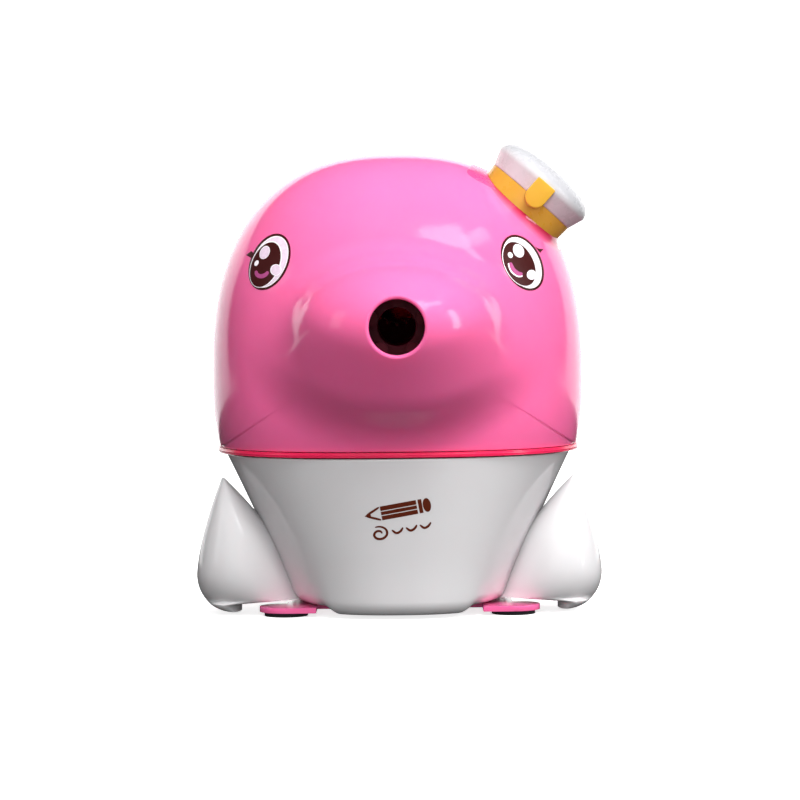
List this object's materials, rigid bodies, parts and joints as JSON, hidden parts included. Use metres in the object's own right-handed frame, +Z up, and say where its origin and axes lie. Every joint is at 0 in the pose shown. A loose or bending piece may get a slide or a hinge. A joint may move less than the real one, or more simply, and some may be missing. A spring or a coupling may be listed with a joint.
{
  "type": "pencil sharpener",
  "caption": "Hand-cranked desk pencil sharpener shaped as a sea animal with a sailor cap, with a helical cutter and a shavings drawer.",
  "frame": {"origin": "middle of the footprint, on the surface that the pads rest on", "axes": "+Z up, -Y the way the snout points, +Y towards the crank, +X the side of the cap"},
  "size_m": [0.0936, 0.1358, 0.1075],
  "materials": {
    "pink_shell": "polished moulded plastic",
    "deep_pink": "polished moulded plastic",
    "white_plastic": "polished moulded plastic",
    "yellow_plastic": "polished moulded plastic",
    "clear_plastic": "translucent moulded plastic",
    "dark_red_plastic": "matte moulded plastic",
    "black_rubber": "matte",
    "steel": "turned",
    "cutter_steel": "ground and hardened",
    "brass": "turned"
  },
  "bodies": {
    "housing": {"base_plate": "pink_shell", "foot_pads": "black_rubber", "lower_housing": "pink_shell", "drawer_rails": "pink_shell", "chassis_deck": "deep_pink", "front_shell": "pink_shell", "rear_shell": "pink_shell", "cap_saddle": "deep_pink", "cap_pedestal": "deep_pink", "cap_band": "yellow_plastic", "cap_crown": "white_plastic", "cap_badge": "yellow_plastic", "centering_ring": "dark_red_plastic", "pencil_guide": "dark_red_plastic", "guide_bracket": "white_plastic", "gear_housing": "white_plastic", "rear_bush": "brass", "shell_screws": "steel", "bracket_screws": "steel", "base_screws": "steel"},
    "crank": {"cutter_carrier": "dark_red_plastic", "crank_shaft": "steel", "crank_arm": "white_plastic", "crank_screw": "steel", "cutter_axle": "steel", "knob_pin": "steel"},
    "cutter": {"helical_cutter": "cutter_steel", "cutter_pinion": "cutter_steel"},
    "knob": {"crank_knob": "pink_shell", "knob_cap": "white_plastic"},
    "drawer": {"drawer_front": "white_plastic", "drawer_tray": "clear_plastic", "left_fin": "white_plastic", "right_fin": "white_plastic"}
  },
  "joints": [
    {"name": "crank_turn", "type": "hinge", "parent": "housing", "child": "crank", "pos_m": [0, 0.036, 0.0663], "axis": [0, 1, 0], "continuous": true},
    {"name": "cutter_spin", "type": "hinge", "parent": "crank", "child": "cutter", "pos_m": [0, 0.0349, 0.0663], "axis": [0, 0.9848, -0.1736], "continuous": true},
    {"name": "knob_spin", "type": "hinge", "parent": "crank", "child": "knob", "pos_m": [0, 0.0453, 0.0243], "axis": [0, 1, 0], "continuous": true},
    {"name": "drawer_slide", "type": "slide", "parent": "housing", "child": "drawer", "axis": [0, -1, 0], "range_m": [0, 0.056]}
  ],
  "couplings": [
    {"joint": "cutter_spin", "follows": "crank_turn", "ratio": -1.875}
  ]
}
